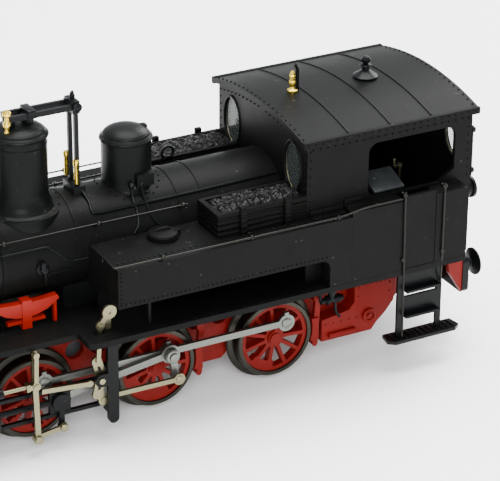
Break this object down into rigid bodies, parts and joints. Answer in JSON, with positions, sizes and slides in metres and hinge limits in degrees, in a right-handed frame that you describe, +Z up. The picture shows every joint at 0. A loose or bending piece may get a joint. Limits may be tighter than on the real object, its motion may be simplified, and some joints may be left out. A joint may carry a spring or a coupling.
{
  "type": "model steam locomotive",
  "caption": "Small-scale side-tank steam locomotive with coupled spoked wheels, moving rods and valve gear, closed cab, domed boiler and wooden coal boxes.",
  "frame": {"origin": "bottom centre of the bounding box, level with the lowest point of the wheel flanges", "axes": "+X forward along the track, +Y to the locomotive's left side, +Z up"},
  "size_m": [0.111, 0.0368, 0.0545],
  "materials": {
    "frame_red": "satin red moulding",
    "spring_red": "satin bright red moulding",
    "body_black": "satin black, very slightly green",
    "smokebox_black": "satin black",
    "trim_black": "satin black moulded fittings",
    "motor_grey": "matt grey metal",
    "nickel": "bright warm nickel plating",
    "rod_steel": "dull blackened steel, grey",
    "tyre_steel": "turned steel treads",
    "brass": "turned brass",
    "box_wood": "dark stained boards",
    "coal_black": "rough black lumps",
    "window_clear": "clear, colourless"
  },
  "bodies": {
    "locomotive": {"main_frame": "frame_red", "motor_block": "motor_grey", "running_board": "body_black", "front_buffer_beam": "frame_red", "rear_buffer_beam": "trim_black", "front_buffers": "trim_black", "rear_buffers": "trim_black", "draw_hooks": "trim_black", "cylinders": "trim_black", "slide_bars": "trim_black", "motion_brackets": "trim_black", "expansion_links": "nickel", "radius_rods": "nickel", "reversing_levers": "nickel", "valve_spindles": "nickel", "brake_gear": "frame_red", "leaf_springs": "spring_red", "boiler": "body_black", "firebox": "smokebox_black", "smokebox": "smokebox_black", "smokebox_door": "smokebox_black", "chimney": "smokebox_black", "steam_dome": "smokebox_black", "safety_valve": "trim_black", "sand_dome": "smokebox_black", "side_tanks": "body_black", "filler_lids": "body_black", "coal_boxes": "box_wood", "coal": "coal_black", "cab_front_wall": "body_black", "cab_sides": "body_black", "cab_rear_wall": "body_black", "cab_floor": "trim_black", "cab_roof": "body_black", "cab_glazing": "window_clear", "backhead": "motor_grey", "whistle": "brass", "roof_vent": "trim_black", "cab_steps": "trim_black", "lamps": "trim_black"},
    "front_wheelset": {"front_wheels": "frame_red", "front_tyres": "tyre_steel"},
    "middle_wheelset": {"middle_wheels": "frame_red", "middle_tyres": "tyre_steel", "return_cranks": "rod_steel"},
    "rear_wheelset": {"rear_wheels": "frame_red", "rear_tyres": "tyre_steel"},
    "left_coupling_rod": {"left_coupling_rod": "rod_steel"},
    "left_main_rod": {"left_main_rod": "rod_steel"},
    "left_eccentric_rod": {"left_eccentric_rod": "nickel"},
    "left_crosshead": {"left_crosshead": "trim_black"},
    "left_combination_lever": {"left_combination_lever": "nickel"},
    "left_union_link": {"left_union_link": "nickel"},
    "right_coupling_rod": {"right_coupling_rod": "rod_steel"},
    "right_main_rod": {"right_main_rod": "rod_steel"},
    "right_eccentric_rod": {"right_eccentric_rod": "nickel"},
    "right_crosshead": {"right_crosshead": "trim_black"},
    "right_combination_lever": {"right_combination_lever": "nickel"},
    "right_union_link": {"right_union_link": "nickel"}
  },
  "joints": [
    {"name": "middle_wheels_turn", "type": "hinge", "parent": "locomotive", "child": "middle_wheelset", "pos_m": [0.0055, 0, 0.008], "axis": [0, 1, 0], "continuous": true},
    {"name": "front_wheels_turn", "type": "hinge", "parent": "locomotive", "child": "front_wheelset", "pos_m": [0.0274, 0, 0.008], "axis": [0, 1, 0], "continuous": true},
    {"name": "rear_wheels_turn", "type": "hinge", "parent": "locomotive", "child": "rear_wheelset", "pos_m": [-0.0164, 0, 0.008], "axis": [0, 1, 0], "continuous": true},
    {"name": "left_coupling_rod_pivot", "type": "hinge", "parent": "middle_wheelset", "child": "left_coupling_rod", "pos_m": [0.00396, 0.01077, 0.01103], "axis": [0, 1, 0], "continuous": true},
    {"name": "left_main_rod_pivot", "type": "hinge", "parent": "middle_wheelset", "child": "left_main_rod", "pos_m": [0.00396, 0.01162, 0.01103], "axis": [0, 1, 0], "continuous": true},
    {"name": "left_eccentric_rod_pivot", "type": "hinge", "parent": "middle_wheelset", "child": "left_eccentric_rod", "pos_m": [0.00346, 0.0139, 0.00738], "axis": [0, 1, 0], "continuous": true},
    {"name": "left_crosshead_slide", "type": "slide", "parent": "locomotive", "child": "left_crosshead", "axis": [1, 0, 0], "range_m": [-0.00163, 0.00517]},
    {"name": "left_combination_lever_swing", "type": "hinge", "parent": "locomotive", "child": "left_combination_lever", "pos_m": [0.029, 0.01455, 0.01305], "axis": [0, 1, 0], "range_deg": [-30.5, 9.7]},
    {"name": "left_union_link_pivot", "type": "hinge", "parent": "left_combination_lever", "child": "left_union_link", "pos_m": [0.02871, 0.0139, 0.0033], "axis": [0, 1, 0], "range_deg": [-9.7, 30.5]},
    {"name": "right_coupling_rod_pivot", "type": "hinge", "parent": "middle_wheelset", "child": "right_coupling_rod", "pos_m": [0.00247, -0.01077, 0.00646], "axis": [0, 1, 0], "continuous": true},
    {"name": "right_main_rod_pivot", "type": "hinge", "parent": "middle_wheelset", "child": "right_main_rod", "pos_m": [0.00247, -0.01162, 0.00646], "axis": [0, 1, 0], "continuous": true},
    {"name": "right_eccentric_rod_pivot", "type": "hinge", "parent": "middle_wheelset", "child": "right_eccentric_rod", "pos_m": [0.00612, -0.0139, 0.00596], "axis": [0, 1, 0], "continuous": true},
    {"name": "right_crosshead_slide", "type": "slide", "parent": "locomotive", "child": "right_crosshead", "axis": [1, 0, 0], "range_m": [-0.00031, 0.00649]},
    {"name": "right_combination_lever_swing", "type": "hinge", "parent": "locomotive", "child": "right_combination_lever", "pos_m": [0.029, -0.01455, 0.01305], "axis": [0, 1, 0], "range_deg": [-38.3, 2]},
    {"name": "right_union_link_pivot", "type": "hinge", "parent": "right_combination_lever", "child": "right_union_link", "pos_m": [0.02739, -0.0139, 0.00343], "axis": [0, 1, 0], "range_deg": [-2, 38.3]}
  ],
  "couplings": [
    {"joint": "front_wheels_turn", "follows": "middle_wheels_turn", "ratio": 1},
    {"joint": "rear_wheels_turn", "follows": "middle_wheels_turn", "ratio": 1},
    {"joint": "left_coupling_rod_pivot", "follows": "middle_wheels_turn", "ratio": -1},
    {"joint": "left_main_rod_pivot", "follows": "middle_wheels_turn", "ratio": -1},
    {"joint": "left_eccentric_rod_pivot", "follows": "middle_wheels_turn", "ratio": -1},
    {"joint": "left_combination_lever_swing", "follows": "left_crosshead_slide", "rad_per_m": -102.56},
    {"joint": "left_union_link_pivot", "follows": "left_crosshead_slide", "rad_per_m": 102.56},
    {"joint": "right_coupling_rod_pivot", "follows": "middle_wheels_turn", "ratio": -1},
    {"joint": "right_main_rod_pivot", "follows": "middle_wheels_turn", "ratio": -1},
    {"joint": "right_eccentric_rod_pivot", "follows": "middle_wheels_turn", "ratio": -1},
    {"joint": "right_combination_lever_swing", "follows": "right_crosshead_slide", "rad_per_m": -102.56},
    {"joint": "right_union_link_pivot", "follows": "right_crosshead_slide", "rad_per_m": 102.56}
  ]
}
